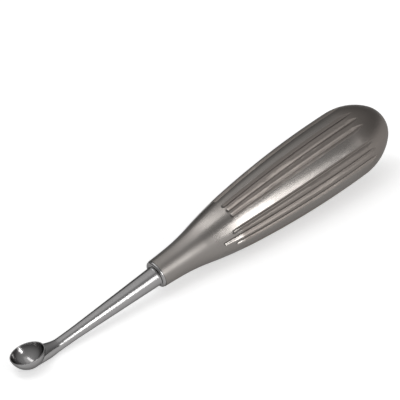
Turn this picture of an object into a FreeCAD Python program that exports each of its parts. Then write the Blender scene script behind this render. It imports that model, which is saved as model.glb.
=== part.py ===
import FreeCAD, Part
import math
import os
import Sketcher
from FreeCAD import Placement, Rotation, Vector

# Bone curette: a forged steel blade with a round cup, set in a hollow fluted steel handle.
# Millimetres. Each piece is drawn along its own X axis, from its seat at the neck's mouth
# towards the butt, with the cup's opening on the +Z side. The seat is at x = 0 on both.

doc = FreeCAD.newDocument("bone_curette")
sheet = doc.addObject("Spreadsheet::Sheet", "Sizes")

sizes = [
    # handle, outside
    ("handle_length", 104.95, "seat to the end of the butt"),
    ("mouth_radius", 5.3, "neck where the blade seats"),
    ("neck_slope", 3.4, "degrees that the neck widens by"),
    ("throat_radius", 73.0, "hollow curve between neck and grip"),
    ("flare_radius", 168.0, "round curve where the grip begins"),
    ("belly_start", 37.65, "seat to the start of the long belly curve"),
    ("belly_middle", 78.85, "seat to the thickest place"),
    ("grip_radius", 13.28, "half the greatest thickness"),
    ("belly_radius", 348.0, "long curve of the belly"),
    ("corner_radius", 21.6, "curve between belly and butt"),
    ("nose_radius", 10.1, "round end of the butt"),
    ("wall", 1.5, "steel left round the hollow"),
    ("socket_room", 1.5, "socket beyond the end of the tang"),
    ("hollow_cone", 50.0, "degrees that the hollow opens by behind the socket"),
    # flutes
    ("flute_depth", 0.62, "valley below the grip's surface"),
    ("flute_half_width", 1.2, "half a valley at the surface"),
    ("valley_radius", 0.35, "round bottom of a valley"),
    ("flute_edge", 12.0, "degrees between a rib's crown and its flank"),
    ("flute_lift", 1.0, "cutter above the grip's surface"),
    ("flute_runout", 98.95, "seat to where the cutter has left the butt"),
    ("flute_pitch", 15.0, "degrees from flute to flute"),
    ("top_flute_start", 32.35, "seat to the flutes near top and bottom"),
    ("side_flute_start", 29.55, "seat to the outer flutes of a side"),
    ("middle_flute_start", 24.85, "seat to the middle flute of a side"),
    # blade
    ("tang_radius", 2.6, "round tang inside the neck"),
    ("tang_length", 20.0, "seat to the end of the tang"),
    ("tang_chamfer", 0.6, "bevel at the end of the tang"),
    ("braze_gap", 0.02, "clearance between tang and socket"),
    ("collar_length", 0.3, "thickness of the collar at the seat"),
    ("collar_step", 0.15, "collar inside the edge of the mouth"),
    ("collar_round", 0.75, "round front edge of the collar"),
    ("shoulder_radius", 0.63, "hollow curve from shaft to collar"),
    ("shoulder_sunk", 0.1, "how far the end of that curve is sunk in the collar"),
    ("shaft_root_radius", 3.67, "shaft at the shoulder"),
    ("shaft_waist_radius", 2.24, "thinnest place of the shaft"),
    ("waist_curve", 240.0, "curve from the waist into the taper"),
    ("shaft_bend", 0.83, "degrees that the shaft leans from the handle's axis"),
    ("shaft_drop", 0.27, "middle of the shaft below the handle's axis at the seat"),
    ("waist_reach", 43.65, "seat to the waist"),
    ("cup_reach", 57.3, "seat to the middle of the cup, along the shaft"),
    ("cup_radius", 6.58, "half the rim, outside"),
    ("cup_height", 4.75, "rim above the middle of the shaft"),
    ("heel_rise", 2.5, "how far the heel climbs from the shaft towards the rim"),
    ("heel_swell", 1.1, "how much wider than the shaft the heel gets, in shaft radii"),
    ("heel_overlap", 0.1, "how far the heel's end is sunk in the cup's wall"),
    ("cup_depth", 5.7, "rim to the underside of the cup"),
    ("cup_wall", 0.75, "steel under the bowl"),
    ("rim_width", 0.45, "flat left on the cutting rim"),
    ("rim_round", 0.12, "softened edge of the rim"),
]
heelSteps = 9
value = {}
for row, (alias, number, note) in enumerate(sizes, start=1):
    sheet.set("A%d" % row, alias)
    sheet.set("B%d" % row, str(number))
    sheet.setAlias("B%d" % row, alias)
    sheet.set("C%d" % row, note)
    value[alias] = number
doc.recompute()


def planeOf(body, role):
    return next(part for part in body.Origin.OriginFeatures if part.Role == role)


def newSketch(body, role, name, offset=None):
    sketch = body.newObject("Sketcher::SketchObject", name)
    sketch.AttachmentSupport = [(planeOf(body, role), "")]
    sketch.MapMode = "FlatFace"
    if offset is not None:
        sketch.AttachmentOffset = offset
    return sketch


def crossing(centreA, radiusA, centreB, radiusB, upper):
    # Where two circles cross: the point on the left of A to B, or on its right.
    span = centreB.sub(centreA)
    along = (radiusA ** 2 - radiusB ** 2 + span.Length ** 2) / (2 * span.Length)
    across = math.sqrt(radiusA ** 2 - along ** 2)
    ahead = Vector(span).normalize()
    side = Vector(-ahead.y, ahead.x, 0)
    return centreA + ahead * along + side * (across if upper else -across)


def handleOutline(inset):
    # Stations and centres of the handle's outline, or of a line `inset` mm inside it.
    belly = value["belly_radius"]
    corner = value["corner_radius"]
    nose = value["nose_radius"]
    flare = value["flare_radius"]
    throat = value["throat_radius"]
    slope = math.radians(value["neck_slope"])
    bellyCentre = Vector(value["belly_middle"], value["grip_radius"] - belly, 0)
    noseCentre = Vector(value["handle_length"] - nose, 0, 0)
    cornerCentre = crossing(bellyCentre, belly - corner, noseCentre, corner - nose, True)
    startHeight = math.sqrt(belly ** 2 - (value["belly_start"] - bellyCentre.x) ** 2)
    toStart = Vector(value["belly_start"] - bellyCentre.x, startHeight, 0).normalize()
    flareCentre = bellyCentre + toStart * (belly - flare)
    # The throat's centre lies on a line one throat radius above the neck's line.
    neckAhead = Vector(math.cos(slope), math.sin(slope), 0)
    neckUp = Vector(-math.sin(slope), math.cos(slope), 0)
    lineStart = Vector(0, value["mouth_radius"], 0) + neckUp * throat
    fromFlare = lineStart.sub(flareCentre)
    half = fromFlare.dot(neckAhead)
    rest = fromFlare.dot(fromFlare) - (flare + throat) ** 2
    throatCentre = lineStart + neckAhead * (-half - math.sqrt(half ** 2 - rest))
    toThroat = throatCentre.sub(flareCentre).normalize()
    toCorner = cornerCentre.sub(bellyCentre).normalize()
    toNose = noseCentre.sub(cornerCentre).normalize()
    return {
        "mouth": Vector(0, value["mouth_radius"], 0),
        "neckEnd": throatCentre - neckUp * (throat + inset),
        "throatEnd": flareCentre + toThroat * (flare - inset),
        "flareEnd": bellyCentre + toStart * (belly - inset),
        "bellyEnd": bellyCentre + toCorner * (belly - inset),
        "cornerEnd": cornerCentre + toNose * (corner - inset),
        "buttEnd": noseCentre + Vector(nose - inset, 0, 0),
        "throatCentre": throatCentre,
        "flareCentre": flareCentre,
        "bellyCentre": bellyCentre,
        "cornerCentre": cornerCentre,
        "noseCentre": noseCentre,
    }


class Outline:
    # Draws a closed outline in a sketch, joined end to end, and names its sizes.

    def __init__(self, sketch):
        self.sketch = sketch
        self.pieces = []

    def line(self, first, last):
        index = self.sketch.addGeometry(Part.LineSegment(first, last), False)
        self.pieces.append((index, 1, 2, False))
        return index

    def arc(self, centre, first, last, smooth=True):
        # The short way round from first to last. `smooth` makes it tangent to what comes before.
        out = first.sub(centre)
        back = last.sub(centre)
        startAngle = math.atan2(out.y, out.x)
        endAngle = math.atan2(back.y, back.x)
        anticlockwise = out.cross(back).z > 0
        if not anticlockwise:
            startAngle, endAngle = endAngle, startAngle
        circle = Part.Circle(centre, Vector(0, 0, 1), out.Length)
        index = self.sketch.addGeometry(Part.ArcOfCircle(circle, startAngle, endAngle), False)
        ends = (1, 2) if anticlockwise else (2, 1)
        self.pieces.append((index, ends[0], ends[1], smooth))
        return index

    def join(self):
        count = len(self.pieces)
        for place in range(count):
            before = self.pieces[place - 1]
            here = self.pieces[place]
            kind = "Tangent" if here[3] else "Coincident"
            self.sketch.addConstraint(
                Sketcher.Constraint(kind, before[0], before[2], here[0], here[1]))

    def size(self, kind, references, number, name, formula):
        # One size, named and bound to the sheet.
        place = self.sketch.addConstraint(Sketcher.Constraint(kind, *references, number))
        self.sketch.renameConstraint(place, name)
        self.sketch.setExpression("Constraints." + name, formula)

    def rule(self, kind, *references):
        self.sketch.addConstraint(Sketcher.Constraint(kind, *references))


# The handle: one closed shell round a hollow, with a socket for the tang.

handle = doc.addObject("PartDesign::Body", "hollow_handle")
handle.Label = "hollow_handle"

outer = handleOutline(0)
inner = handleOutline(value["wall"])
boreRadius = value["tang_radius"] + value["braze_gap"]
socketEnd = Vector(value["tang_length"] + value["socket_room"], boreRadius, 0)
coneAngle = math.radians(value["hollow_cone"])
coneAhead = Vector(math.cos(coneAngle), math.sin(coneAngle), 0)
innerFlare = value["flare_radius"] - value["wall"]
toSocket = socketEnd.sub(inner["flareCentre"])
reach = toSocket.dot(coneAhead)
coneEnd = socketEnd + coneAhead * (
    -reach + math.sqrt(reach ** 2 - toSocket.dot(toSocket) + innerFlare ** 2))

shellSketch = newSketch(handle, "XZ_Plane", "ShellOutline")
shell = Outline(shellSketch)
face = shell.line(Vector(0, boreRadius, 0), outer["mouth"])
neck = shell.line(outer["mouth"], outer["neckEnd"])
throat = shell.arc(outer["throatCentre"], outer["neckEnd"], outer["throatEnd"])
flare = shell.arc(outer["flareCentre"], outer["throatEnd"], outer["flareEnd"])
belly = shell.arc(outer["bellyCentre"], outer["flareEnd"], outer["bellyEnd"])
corner = shell.arc(outer["cornerCentre"], outer["bellyEnd"], outer["cornerEnd"])
nose = shell.arc(outer["noseCentre"], outer["cornerEnd"], outer["buttEnd"])
end = shell.line(outer["buttEnd"], inner["buttEnd"])
noseIn = shell.arc(inner["noseCentre"], inner["buttEnd"], inner["cornerEnd"], False)
cornerIn = shell.arc(inner["cornerCentre"], inner["cornerEnd"], inner["bellyEnd"])
bellyIn = shell.arc(inner["bellyCentre"], inner["bellyEnd"], inner["flareEnd"])
flareIn = shell.arc(inner["flareCentre"], inner["flareEnd"], coneEnd)
cone = shell.line(coneEnd, socketEnd)
socket = shell.line(socketEnd, Vector(0, boreRadius, 0))
shell.join()
shell.rule("Vertical", face)
shell.rule("Horizontal", end)
shell.rule("Horizontal", socket)
shell.rule("PointOnObject", face, 1, -2)
shell.rule("PointOnObject", nose, 3, -1)
shell.rule("PointOnObject", end, 1, -1)
for outside, inside in ((nose, noseIn), (corner, cornerIn), (belly, bellyIn), (flare, flareIn)):
    shell.rule("Coincident", outside, 3, inside, 3)
shell.size("DistanceY", (-1, 1, face, 1), boreRadius, "bore", "Sizes.tang_radius + Sizes.braze_gap")
shell.size("DistanceY", (-1, 1, face, 2), value["mouth_radius"], "mouth", "Sizes.mouth_radius")
shell.size("Angle", (neck,), math.radians(value["neck_slope"]), "slope", "Sizes.neck_slope * 1 deg")
shell.size("Radius", (throat,), value["throat_radius"], "throat", "Sizes.throat_radius")
shell.size("Radius", (flare,), value["flare_radius"], "flare", "Sizes.flare_radius")
shell.size("Radius", (belly,), value["belly_radius"], "belly", "Sizes.belly_radius")
shell.size("Radius", (corner,), value["corner_radius"], "corner", "Sizes.corner_radius")
shell.size("Radius", (nose,), value["nose_radius"], "nose", "Sizes.nose_radius")
shell.size("DistanceX", (-1, 1, belly, 3), value["belly_middle"], "middle", "Sizes.belly_middle")
shell.size("DistanceY", (belly, 3, -1, 1), value["belly_radius"] - value["grip_radius"], "drop",
           "Sizes.belly_radius - Sizes.grip_radius")
shell.size("DistanceX", (-1, 1, belly, 2), value["belly_start"], "start", "Sizes.belly_start")
shell.size("DistanceX", (-1, 1, end, 1), value["handle_length"], "length", "Sizes.handle_length")
shell.size("DistanceX", (end, 2, end, 1), value["wall"], "wall", "Sizes.wall")
shell.size("DistanceX", (-1, 1, socket, 1), socketEnd.x, "socket",
           "Sizes.tang_length + Sizes.socket_room")
shell.size("Angle", (cone,), coneAngle - math.pi, "cone", "(Sizes.hollow_cone - 180) * 1 deg")

shellTurn = handle.newObject("PartDesign::Revolution", "Shell")
shellTurn.Profile = shellSketch
shellTurn.ReferenceAxis = (shellSketch, ["H_Axis"])
shellTurn.Angle = 360
doc.recompute()

# The flutes: a cutter with a narrow round nose and hollow flanks leaves convex ribs between
# the valleys. It follows the belly's curve, so each valley runs out where the butt falls away,
# and it starts with a rounded scallop. Every fourth place is left smooth.

surfaceDrop = value["grip_radius"] - math.sqrt(
    value["grip_radius"] ** 2 - value["flute_half_width"] ** 2)
edgeAngle = math.radians(value["flute_edge"])
valleyRise = value["flute_depth"] - value["valley_radius"] - surfaceDrop
flankRadius = (
    (value["flute_half_width"] ** 2 + valleyRise ** 2 - value["valley_radius"] ** 2) / 2
    / (valleyRise * math.cos(edgeAngle) + value["valley_radius"]
       - value["flute_half_width"] * math.sin(edgeAngle)))
beltRadius = value["belly_radius"]
rimPoint = Vector(value["flute_half_width"], beltRadius - surfaceDrop, 0)
flankCentre = rimPoint + Vector(math.sin(edgeAngle), -math.cos(edgeAngle), 0) * flankRadius
valleyCentre = Vector(0, beltRadius - value["flute_depth"] + value["valley_radius"], 0)
toFlank = flankCentre.sub(valleyCentre).normalize()
flankFoot = valleyCentre + toFlank * value["valley_radius"]
valleyFoot = Vector(0, beltRadius - value["flute_depth"], 0)
topCorner = Vector(value["flute_half_width"], beltRadius + value["flute_lift"], 0)


def mirrored(point):
    return Vector(-point.x, point.y, 0)


def flutePlace(start, angle):
    # The sketch stands square to the belly's curve at the flute's start, turned about the handle's
    # axis, with its own origin at the belly's centre.
    turn = math.radians(angle)
    lean = math.degrees(math.asin((value["belly_middle"] - start) / beltRadius))
    centreHeight = value["grip_radius"] - beltRadius
    base = Vector(-math.sin(turn) * centreHeight, math.cos(turn) * centreHeight,
                  value["belly_middle"])
    return Placement(base, Rotation(Vector(0, 0, 1), angle) * Rotation(Vector(1, 0, 0), -lean))


def cutsFrom(feature, before):
    # A groove that turns the wrong way removes nothing, so the volume is compared.
    doc.recompute()
    if before - feature.Shape.Volume < 0.01:
        feature.Reversed = not feature.Reversed
        doc.recompute()
    return feature


def cutFlute(body, start, angle):
    name = "Flute%03d" % (angle % 360)
    place = flutePlace(start, angle)
    sketch = newSketch(body, "YZ_Plane", name + "Section", place)
    section = Outline(sketch)
    valley = section.arc(valleyCentre, mirrored(flankFoot), flankFoot, False)
    right = section.arc(flankCentre, flankFoot, rimPoint)
    section.line(rimPoint, topCorner)
    section.line(topCorner, mirrored(topCorner))
    section.line(mirrored(topCorner), mirrored(rimPoint))
    section.arc(mirrored(flankCentre), mirrored(rimPoint), mirrored(flankFoot), False)
    section.join()
    groove = body.newObject("PartDesign::Groove", name)
    groove.Profile = sketch
    groove.ReferenceAxis = (sketch, ["H_Axis"])
    groove.Angle = math.degrees(
        math.asin((value["belly_middle"] - start) / beltRadius)
        + math.asin((value["flute_runout"] - value["belly_middle"]) / beltRadius))
    before = handle.Shape.Volume
    cutsFrom(groove, before)
    half = newSketch(body, "YZ_Plane", name + "Half", place)
    dish = Outline(half)
    dish.arc(valleyCentre, valleyFoot, flankFoot, False)
    dish.arc(flankCentre, flankFoot, rimPoint)
    dish.line(rimPoint, topCorner)
    dish.line(topCorner, Vector(0, topCorner.y, 0))
    dish.line(Vector(0, topCorner.y, 0), valleyFoot)
    dish.join()
    scallop = body.newObject("PartDesign::Groove", name + "Start")
    scallop.Profile = half
    scallop.ReferenceAxis = (half, ["V_Axis"])
    scallop.Angle = 180
    before = groove.Shape.Volume
    cutsFrom(scallop, before)
    return [groove, scallop]


def repeatOpposite(body, name, features):
    pattern = body.newObject("PartDesign::PolarPattern", name)
    pattern.Originals = features
    pattern.Axis = (planeOf(body, "X_Axis"), [""])
    pattern.Angle = 360
    pattern.Occurrences = 2
    body.Tip = pattern
    doc.recompute()
    return pattern


pitch = value["flute_pitch"]
topCuts = []
for step in (-3, -2, -1, 1, 2, 3):
    topCuts += cutFlute(handle, value["top_flute_start"], step * pitch)
topFlutes = repeatOpposite(handle, "TopAndBottomFlutes", topCuts)
sideCuts = []
for step in (-1, 0, 1):
    start = value["middle_flute_start"] if step == 0 else value["side_flute_start"]
    sideCuts += cutFlute(handle, start, 90 + step * pitch)
sideFlutes = repeatOpposite(handle, "SideFlutes", sideCuts)


# The blade: tang and collar on the handle's axis, then the shaft, which leans a little, and the
# cup at its end. The shaft's own frame is turned about the middle of the seat.

blade = doc.addObject("PartDesign::Body", "curette_blade")
blade.Label = "curette_blade"

tangSketch = newSketch(blade, "XZ_Plane", "TangOutline")
tang = Outline(tangSketch)
tangEnd = value["tang_length"]
bevel = value["tang_chamfer"]
collarRadius = value["mouth_radius"] - value["collar_step"]
roundCentre = Vector(-value["collar_length"], collarRadius - value["collar_round"], 0)
roundTop = roundCentre + Vector(0, value["collar_round"], 0)
roundFoot = roundCentre - Vector(value["collar_round"], 0, 0)
front = tang.line(Vector(roundFoot.x, 0, 0), roundFoot)
edge = tang.arc(roundCentre, roundFoot, roundTop)
rim = tang.line(roundTop, Vector(0, collarRadius, 0))
seat = tang.line(Vector(0, collarRadius, 0), Vector(0, value["tang_radius"], 0))
side = tang.line(Vector(0, value["tang_radius"], 0),
                 Vector(tangEnd - bevel, value["tang_radius"], 0))
slant = tang.line(Vector(tangEnd - bevel, value["tang_radius"], 0),
                  Vector(tangEnd, value["tang_radius"] - bevel, 0))
tip = tang.line(Vector(tangEnd, value["tang_radius"] - bevel, 0), Vector(tangEnd, 0, 0))
middle = tang.line(Vector(tangEnd, 0, 0), Vector(roundFoot.x, 0, 0))
tang.join()
for upright in (front, seat, tip):
    tang.rule("Vertical", upright)
for level in (rim, side, middle):
    tang.rule("Horizontal", level)
tang.rule("PointOnObject", middle, 1, -1)
tang.rule("PointOnObject", seat, 1, -2)
tang.rule("Vertical", edge, 3, rim, 1)
tang.size("Radius", (edge,), value["collar_round"], "round", "Sizes.collar_round")
tang.size("DistanceX", (rim,), value["collar_length"], "collar", "Sizes.collar_length")
tang.size("DistanceY", (-1, 1, rim, 2), collarRadius, "collarRadius",
          "Sizes.mouth_radius - Sizes.collar_step")
tang.size("DistanceY", (-1, 1, side, 1), value["tang_radius"], "radius", "Sizes.tang_radius")
tang.size("DistanceX", (-1, 1, tip, 1), tangEnd, "length", "Sizes.tang_length")
tang.size("DistanceX", (slant,), bevel, "bevel", "Sizes.tang_chamfer")
tang.size("DistanceY", (slant, 2, slant, 1), bevel, "bevelHeight", "Sizes.tang_chamfer")
tangTurn = blade.newObject("PartDesign::Revolution", "CollarAndTang")
tangTurn.Profile = tangSketch
tangTurn.ReferenceAxis = (tangSketch, ["H_Axis"])
tangTurn.Angle = 360
doc.recompute()

# The shaft tapers down from the collar to a waist.

lean = Placement(Vector(0, -value["shaft_drop"], 0),
                 Rotation(Vector(0, 0, 1), value["shaft_bend"]))
shaftSketch = newSketch(blade, "XZ_Plane", "ShaftOutline", lean)
shaftSketch.setExpression("AttachmentOffset.Base.y", "-Sizes.shaft_drop * 1 mm")
shaftSketch.setExpression("AttachmentOffset.Rotation.Angle", "Sizes.shaft_bend * 1 deg")
hollow = value["shoulder_radius"]
hollowEnd = roundFoot.x + value["shoulder_sunk"]
root = Vector(hollowEnd - hollow, value["shaft_root_radius"], 0)
waist = Vector(-value["waist_reach"], value["shaft_waist_radius"], 0)
waistCentre = waist + Vector(0, value["waist_curve"], 0)
toRoot = root.sub(waistCentre)
tangentLength = math.sqrt(toRoot.Length ** 2 - value["waist_curve"] ** 2)
turn = math.atan2(toRoot.x, -toRoot.y) - math.atan2(tangentLength, value["waist_curve"])
taperStart = waistCentre + Vector(math.sin(turn), -math.cos(turn), 0) * value["waist_curve"]
shoulderCentre = root + Vector(0, hollow, 0)
shoulderTop = shoulderCentre + Vector(hollow, 0, 0)
buried = Vector(-value["collar_length"], shoulderTop.y, 0)
shaft = Outline(shaftSketch)
shaft.line(Vector(waist.x, 0, 0), waist)
shaft.arc(waistCentre, waist, taperStart, False)
shaft.line(taperStart, root)
shaft.arc(shoulderCentre, root, shoulderTop, False)
shaft.line(shoulderTop, buried)
shaft.line(buried, Vector(buried.x, 0, 0))
shaft.line(Vector(buried.x, 0, 0), Vector(waist.x, 0, 0))
shaft.join()
shaftTurn = blade.newObject("PartDesign::Revolution", "Shaft")
shaftTurn.Profile = shaftSketch
shaftTurn.ReferenceAxis = (shaftSketch, ["H_Axis"])
shaftTurn.Angle = 360
doc.recompute()

# The heel: ovals that grow from the round waist into the back of the cup. The top climbs
# towards the rim, and the underside comes up to the bottom of the cup.

def eased(place, first, last):
    # A soft step from 0 at the first place to 1 at the last.
    share = min(max((place - first) / (last - first), 0), 1)
    return share * share * (3 - 2 * share)


thin = value["shaft_waist_radius"]
keel = thin + value["cup_height"] - value["cup_depth"] + value["heel_overlap"]
heelSpan = value["cup_reach"] - value["waist_reach"]
ovals = []
for number in range(heelSteps + 1):
    place = number / heelSteps
    above = thin + value["heel_rise"] * eased(place, 0.06, 0.84)
    below = thin - keel * eased(place, 0.35, 1.0)
    side = thin * (1 + value["heel_swell"] * eased(place, 0.14, 0.9))
    turnDown = Rotation(Vector(1, 0, 0), -value["shaft_bend"])
    middlePoint = Vector(0, (above - below) / 2, -value["waist_reach"] - heelSpan * place)
    base = turnDown.multVec(middlePoint) - Vector(0, value["shaft_drop"], 0)
    ring = newSketch(blade, "YZ_Plane", "Heel%d" % number, Placement(base, turnDown))
    tall = (above + below) / 2
    if abs(tall - side) < 0.001:
        oval = Part.Circle(Vector(0, 0, 0), Vector(0, 0, 1), side)
    elif tall > side:
        oval = Part.Ellipse(Vector(0, tall, 0), Vector(side, 0, 0), Vector(0, 0, 0))
    else:
        oval = Part.Ellipse(Vector(side, 0, 0), Vector(0, tall, 0), Vector(0, 0, 0))
    ring.addGeometry(oval, False)
    ovals.append(ring)
heelLoft = blade.newObject("PartDesign::AdditiveLoft", "Heel")
heelLoft.Profile = ovals[0]
heelLoft.Sections = ovals[1:]
heelLoft.Ruled = False
doc.recompute()

# The cup: a round bowl with a thin rim, its rim parallel to the shaft.

def cupPlace():
    away = Rotation(Vector(0, 0, 1), value["shaft_bend"])
    middlePoint = away.multVec(Vector(-value["cup_reach"], value["cup_height"], 0))
    return Placement(middlePoint - Vector(0, value["shaft_drop"], 0), away)


def bowlOutline(name, radius, depth, side):
    # Half a bowl's outline, round about the middle line and `depth` below the rim, with its corner
    # at the rim rounded. `side` is 1 where the steel is inside the outline and -1 where it's outside.
    sketch = newSketch(blade, "XZ_Plane", name, cupPlace())
    centre = Vector(0, (radius ** 2 - depth ** 2) / (2 * depth), 0)
    ball = depth + centre.y
    soft = value["rim_round"]
    across = math.sqrt((ball - side * soft) ** 2 - (centre.y + soft) ** 2)
    softCentre = Vector(across, -soft, 0)
    softFoot = centre + (softCentre - centre) * (ball / (ball - side * soft))
    rimPoint = Vector(across, 0, 0)
    bowl = Outline(sketch)
    bowl.arc(centre, Vector(0, -depth, 0), softFoot, False)
    bowl.arc(softCentre, softFoot, rimPoint, False)
    return sketch, bowl, rimPoint


outsideSketch, outside, rimPoint = bowlOutline("CupOutside", value["cup_radius"],
                                               value["cup_depth"], 1)
outside.line(rimPoint, Vector(0, 0, 0))
outside.line(Vector(0, 0, 0), Vector(0, -value["cup_depth"], 0))
outside.join()
cup = blade.newObject("PartDesign::Revolution", "Cup")
cup.Profile = outsideSketch
cup.ReferenceAxis = (outsideSketch, ["V_Axis"])
cup.Angle = 360
doc.recompute()
bowlDepth = value["cup_depth"] - value["cup_wall"]
insideSketch, inside, rimPoint = bowlOutline("CupInside", value["cup_radius"] - value["rim_width"],
                                             bowlDepth, -1)
lidHeight = value["cup_height"]
inside.line(rimPoint, Vector(rimPoint.x, lidHeight, 0))
inside.line(Vector(rimPoint.x, lidHeight, 0), Vector(0, lidHeight, 0))
inside.line(Vector(0, lidHeight, 0), Vector(0, -bowlDepth, 0))
inside.join()
bowl = blade.newObject("PartDesign::Groove", "Bowl")
bowl.Profile = insideSketch
bowl.ReferenceAxis = (insideSketch, ["V_Axis"])
bowl.Angle = 360
doc.recompute()
bend = Rotation(Vector(0, 1, 0), -value["shaft_bend"])
cupCentre = (bend.multVec(Vector(-value["cup_reach"], 0, value["cup_height"]))
             - Vector(0, 0, value["shaft_drop"]))

# At rest the curette lies on the handle's belly and the underside of the cup, cup upwards.
# The handle's axis leans down towards the cup until both touch the same level.

def lowestPoint(piece, turn):
    shape = piece.Shape.copy()
    shape.Placement = Placement(Vector(0, 0, 0), turn)
    return shape.optimalBoundingBox().ZMin


settle = 0.0
for attempt in range(5):
    rest = Rotation(Vector(0, 1, 0), -settle)
    handleLow = lowestPoint(handle, rest)
    gap = lowestPoint(blade, rest) - handleLow
    settle += math.degrees(gap / (value["belly_middle"] + value["cup_reach"]))
rest = Rotation(Vector(0, 1, 0), -settle)
noseCentre = Vector(value["handle_length"] - value["nose_radius"], 0, 0)
buttEnd = rest.multVec(noseCentre).x + value["nose_radius"]
tipEnd = rest.multVec(cupCentre + bend.multVec(Vector(-value["cup_radius"], 0, 0))).x
place = Placement(Vector(-(buttEnd + tipEnd) / 2, 0, -lowestPoint(handle, rest)), rest)
for piece in (handle, blade):
    piece.Placement = place
doc.recompute()
print("the handle's axis leans by %.2f degrees" % settle)

# Everything is checked before anything is written.

for item in doc.Objects:
    if "Invalid" in item.State or "Error" in item.State:
        raise RuntimeError(item.Name + " failed")
for piece in (handle, blade):
    if piece.Shape.isNull() or not piece.Shape.isValid():
        raise RuntimeError(piece.Label + " has no valid shape")
    box = piece.Shape.optimalBoundingBox()
    print(piece.Label, "volume %.1f" % piece.Shape.Volume, box)
os.makedirs("parts", exist_ok=True)
for piece in (handle, blade):
    piece.Shape.exportStep("parts/%s.step" % piece.Label)
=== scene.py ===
import bpy
import math
from mathutils import Matrix, Vector


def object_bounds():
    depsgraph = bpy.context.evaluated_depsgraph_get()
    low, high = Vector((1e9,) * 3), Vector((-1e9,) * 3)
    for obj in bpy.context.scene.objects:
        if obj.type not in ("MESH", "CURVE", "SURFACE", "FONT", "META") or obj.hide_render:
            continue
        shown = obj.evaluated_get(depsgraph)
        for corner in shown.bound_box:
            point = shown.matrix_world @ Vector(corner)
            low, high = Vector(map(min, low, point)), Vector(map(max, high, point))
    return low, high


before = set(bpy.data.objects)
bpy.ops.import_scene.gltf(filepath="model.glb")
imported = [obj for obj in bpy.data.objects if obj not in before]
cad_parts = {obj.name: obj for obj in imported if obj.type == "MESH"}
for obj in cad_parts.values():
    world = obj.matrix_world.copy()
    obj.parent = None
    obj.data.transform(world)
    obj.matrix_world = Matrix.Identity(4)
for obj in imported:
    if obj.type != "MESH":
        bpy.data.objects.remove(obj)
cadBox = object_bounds()
print("solids loaded")

# Bone curette lying cup upwards: a satin hollow handle and a polished blade.
# Metres, in the CAD frame. +X runs from the cup to the butt, +Z is up.

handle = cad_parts["hollow_handle"]
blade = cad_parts["curette_blade"]

# The handle's axis leans down towards the cup.
handleLean = math.radians(5.12)
handleAxis = Vector((math.cos(handleLean), 0, math.sin(handleLean)))
handleUp = Vector((-math.sin(handleLean), 0, math.cos(handleLean)))
nearSide = Vector((0, -1, 0))         # the side that the camera sees


def newMaterial(name, look):
    material = bpy.data.materials.new(name)
    material.use_nodes = True
    shader = material.node_tree.nodes["Principled BSDF"]
    shader.inputs["Base Color"].default_value = look["colour"]
    shader.inputs["Roughness"].default_value = look["roughness"]
    shader.inputs["Metallic"].default_value = look["metallic"]
    if "edge" in look:
        shader.inputs["Specular Tint"].default_value = look["edge"]
    return material, material.node_tree, shader


def dress(piece, material):
    piece.data.materials.clear()
    piece.data.materials.append(material)
    for face in piece.data.polygons:
        face.material_index = 0


def worked(tree, kind, first, second):
    # One step of arithmetic in a material. Each side is a socket or a plain number.
    node = tree.nodes.new("ShaderNodeMath")
    node.operation = kind
    for socket, given in zip(node.inputs, (first, second)):
        if isinstance(given, (int, float)):
            socket.default_value = given
        else:
            tree.links.new(given, socket)
    return node.outputs[0]


def fade(tree, value, start, end, low=0.0, high=1.0):
    # Goes smoothly from low to high while the value goes from start to end.
    node = tree.nodes.new("ShaderNodeMapRange")
    node.interpolation_type = "SMOOTHSTEP"
    tree.links.new(value, node.inputs["Value"])
    for name, given in zip(("From Min", "From Max", "To Min", "To Max"), (start, end, low, high)):
        node.inputs[name].default_value = given
    return node.outputs["Result"]


# Handle: satin steel. The groups of flutes and the butt are duller and browner than the smooth
# bands, and the neck is dull too.
handleLook = {
    "colour": (0.222, 0.208, 0.196, 1),
    "fluteColour": (0.186, 0.167, 0.153, 1),
    "roughness": 0.25,
    "dullRoughness": 0.42,
    "metallic": 1.0,
    "edge": (0.6, 0.6, 0.6, 1),       # share of the colour left where it is seen edge-on
    "seat": (-0.0203, 0, 0.0076),     # middle of the handle's front end
    "bands": 6,
    "bandEdge": (0.14, 0.20),         # where a band gives way to flutes, in shares of a sixth turn
    "fluteStart": (0.0310, 0.0335),   # this and the next two: metres from the front end
    "butt": (0.078, 0.096),
    "neckEnd": (0.010, 0.028),
}
satin, satinTree, satinShader = newMaterial("satinSteel", handleLook)
place = satinTree.nodes.new("ShaderNodeTexCoord")
fromSeat = satinTree.nodes.new("ShaderNodeVectorMath")
fromSeat.operation = "SUBTRACT"
fromSeat.inputs[1].default_value = handleLook["seat"]
satinTree.links.new(place.outputs["Object"], fromSeat.inputs[0])


def reach(direction):
    # How far a point of the handle lies from the seat in one direction.
    node = satinTree.nodes.new("ShaderNodeVectorMath")
    node.operation = "DOT_PRODUCT"
    node.inputs[1].default_value = direction
    satinTree.links.new(fromSeat.outputs[0], node.inputs[0])
    return node.outputs["Value"]


fromFront = reach(handleAxis)
roundAxis = worked(satinTree, "ARCTAN2", reach(nearSide), reach(handleUp))
bandsRound = worked(satinTree, "MULTIPLY", roundAxis, handleLook["bands"] / math.tau)
halfwayToNext = 0.5
fromBand = worked(satinTree, "PINGPONG", bandsRound, halfwayToNext)
inGroup = fade(satinTree, fromBand, *handleLook["bandEdge"])
pastStart = fade(satinTree, fromFront, *handleLook["fluteStart"])
atButt = fade(satinTree, fromFront, *handleLook["butt"])
pastNeck = fade(satinTree, fromFront, *handleLook["neckEnd"])
fluted = worked(satinTree, "MAXIMUM", worked(satinTree, "MULTIPLY", inGroup, pastStart), atButt)
dull = worked(satinTree, "MAXIMUM", fluted, worked(satinTree, "SUBTRACT", 1, pastNeck))

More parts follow.
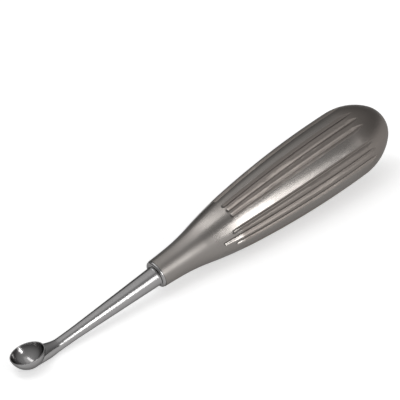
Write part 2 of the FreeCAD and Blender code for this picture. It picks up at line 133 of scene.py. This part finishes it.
tint = satinTree.nodes.new("ShaderNodeMix")
tint.data_type = "RGBA"
tint.inputs["A"].default_value = handleLook["colour"]
tint.inputs["B"].default_value = handleLook["fluteColour"]
satinTree.links.new(fluted, tint.inputs["Factor"])
satinTree.links.new(tint.outputs["Result"], satinShader.inputs["Base Color"])
roughness = fade(satinTree, dull, 0, 1, handleLook["roughness"], handleLook["dullRoughness"])
satinTree.links.new(roughness, satinShader.inputs["Roughness"])
dress(handle, satin)
print("handle dressed")

# Blade: polished steel, darker at its edges.
bladeLook = {
    "colour": (0.285, 0.28, 0.28, 1),
    "roughness": 0.20,
    "metallic": 1.0,
    "edge": (0.35, 0.35, 0.35, 1),
}
polished = newMaterial("polishedSteel", bladeLook)[0]
dress(blade, polished)
print("blade dressed")

# Floor: plain paper that keeps the curette's shadow. It glows only to the camera and in what the
# metal reflects, so that it comes out white where no shadow falls.
floorLook = {
    "size": 6.0,
    "colour": (0.80, 0.80, 0.80, 1),
    "roughness": 0.9,
    "metallic": 0.0,
    "glow": 0.5,
}
bpy.ops.mesh.primitive_plane_add(size=floorLook["size"], location=(0, 0, cadBox[0].z))
floor = bpy.context.object
floor.name = "floor"
paper, paperTree, paperShader = newMaterial("paper", floorLook)
floor.data.materials.append(paper)
ray = paperTree.nodes.new("ShaderNodeLightPath")
seen = worked(paperTree, "MAXIMUM", ray.outputs["Is Camera Ray"], ray.outputs["Is Glossy Ray"])
seen = worked(paperTree, "MAXIMUM", seen, ray.outputs["Is Transmission Ray"])
glow = worked(paperTree, "MULTIPLY", seen, floorLook["glow"])
paperShader.inputs["Emission Color"].default_value = (1, 1, 1, 1)
paperTree.links.new(glow, paperShader.inputs["Emission Strength"])
print("floor laid")


def lookFrom(along, turned):
    # A direction out of the curette: its share along the handle, and degrees round from the top
    # towards the camera's side.
    turn = math.radians(turned)
    across = math.sqrt(1 - along ** 2)
    return (handleAxis * along + nearSide * across * math.sin(turn)
            + handleUp * across * math.cos(turn))


# Camera: where the photograph was taken from, far off with a long lens.
cameraLook = {
    "along": -0.36,
    "turned": 54.7,
    "distance": 1.8,
    "middle": (0, 0, 0.012),
    "sensor": 36,                     # millimetres wide
    "focal": 5081,                    # this and the next two: in pixels of the photograph
    "side": 400,
    "middlePixel": (199.8, 237.0),
    "axisOnPicture": (0.8229, -0.5682),   # how the handle's axis runs across the picture
    "farthest": 20,
}
toCamera = lookFrom(cameraLook["along"], cameraLook["turned"])
seenAxis = (handleAxis - toCamera * handleAxis.dot(toCamera)).normalized()
seenDown = seenAxis.cross(toCamera)
pictureX, pictureY = cameraLook["axisOnPicture"]
right = (seenAxis * pictureX - seenDown * pictureY).normalized()
up = (seenAxis * -pictureY - seenDown * pictureX).normalized()
middle = Vector(cameraLook["middle"])
camera = bpy.data.cameras.new("camera")
camera.sensor_width = cameraLook["sensor"]
camera.lens = cameraLook["sensor"] * cameraLook["focal"] / cameraLook["side"]
camera.clip_end = cameraLook["farthest"]
halfSide = cameraLook["side"] / 2
camera.shift_x = -(cameraLook["middlePixel"][0] - halfSide) / cameraLook["side"]
camera.shift_y = (cameraLook["middlePixel"][1] - halfSide) / cameraLook["side"]
cameraBody = bpy.data.objects.new("camera", camera)
cameraAxes = Matrix((right, up, toCamera)).transposed().to_4x4()
cameraPlace = Matrix.Translation(middle + toCamera * cameraLook["distance"])
cameraBody.matrix_world = cameraPlace @ cameraAxes
bpy.context.collection.objects.link(cameraBody)
bpy.context.scene.camera = cameraBody
print("camera made")

# Lamps: softboxes, each placed by where it shows in the metal.
lampLook = {
    # share along the handle, degrees round from the top, metres off, length, width, watts
    "mainLamp": (0.14, 72, 1.2, 0.16, 0.70, 4.4),
    "patchLamp": (0.0, -15, 1.2, 0.20, 1.2, 2.2),
    "topLamp": (0.20, -15, 1.2, 0.62, 2.0, 1.4),
    "sideLamp": (0.30, 80, 1.2, 0.16, 0.42, 0.8),
}
for name, (along, turned, off, length, width, power) in lampLook.items():
    lamp = bpy.data.lights.new(name, "AREA")
    lamp.shape = "RECTANGLE"
    lamp.size = length
    lamp.size_y = width
    lamp.energy = power
    toLamp = lookFrom(along, turned)
    lengthwise = (handleAxis - toLamp * handleAxis.dot(toLamp)).normalized()
    lampAxes = Matrix((lengthwise, toLamp.cross(lengthwise), toLamp)).transposed().to_4x4()
    lampBody = bpy.data.objects.new(name, lamp)
    lampBody.matrix_world = Matrix.Translation(middle + toLamp * off) @ lampAxes
    bpy.context.collection.objects.link(lampBody)
print("lamps made")

# Room: light overhead and darker towards the level of the table.
roomLook = {
    "level": 0.12,
    "overhead": 0.62,
}
room = bpy.data.worlds.new("studio")
bpy.context.scene.world = room
room.use_nodes = True
roomTree = room.node_tree
roomShader = roomTree.nodes["Background"]
roomShader.inputs["Color"].default_value = (1, 1, 1, 1)
lookedAt = roomTree.nodes.new("ShaderNodeTexCoord")
split = roomTree.nodes.new("ShaderNodeSeparateXYZ")
rise = roomTree.nodes.new("ShaderNodeMapRange")
rise.inputs["To Min"].default_value = roomLook["level"]
rise.inputs["To Max"].default_value = roomLook["overhead"]
roomTree.links.new(lookedAt.outputs["Generated"], split.inputs[0])
roomTree.links.new(split.outputs["Z"], rise.inputs["Value"])
roomTree.links.new(rise.outputs["Result"], roomShader.inputs["Strength"])
bpy.context.scene.view_settings.view_transform = "Standard"
print("room made")
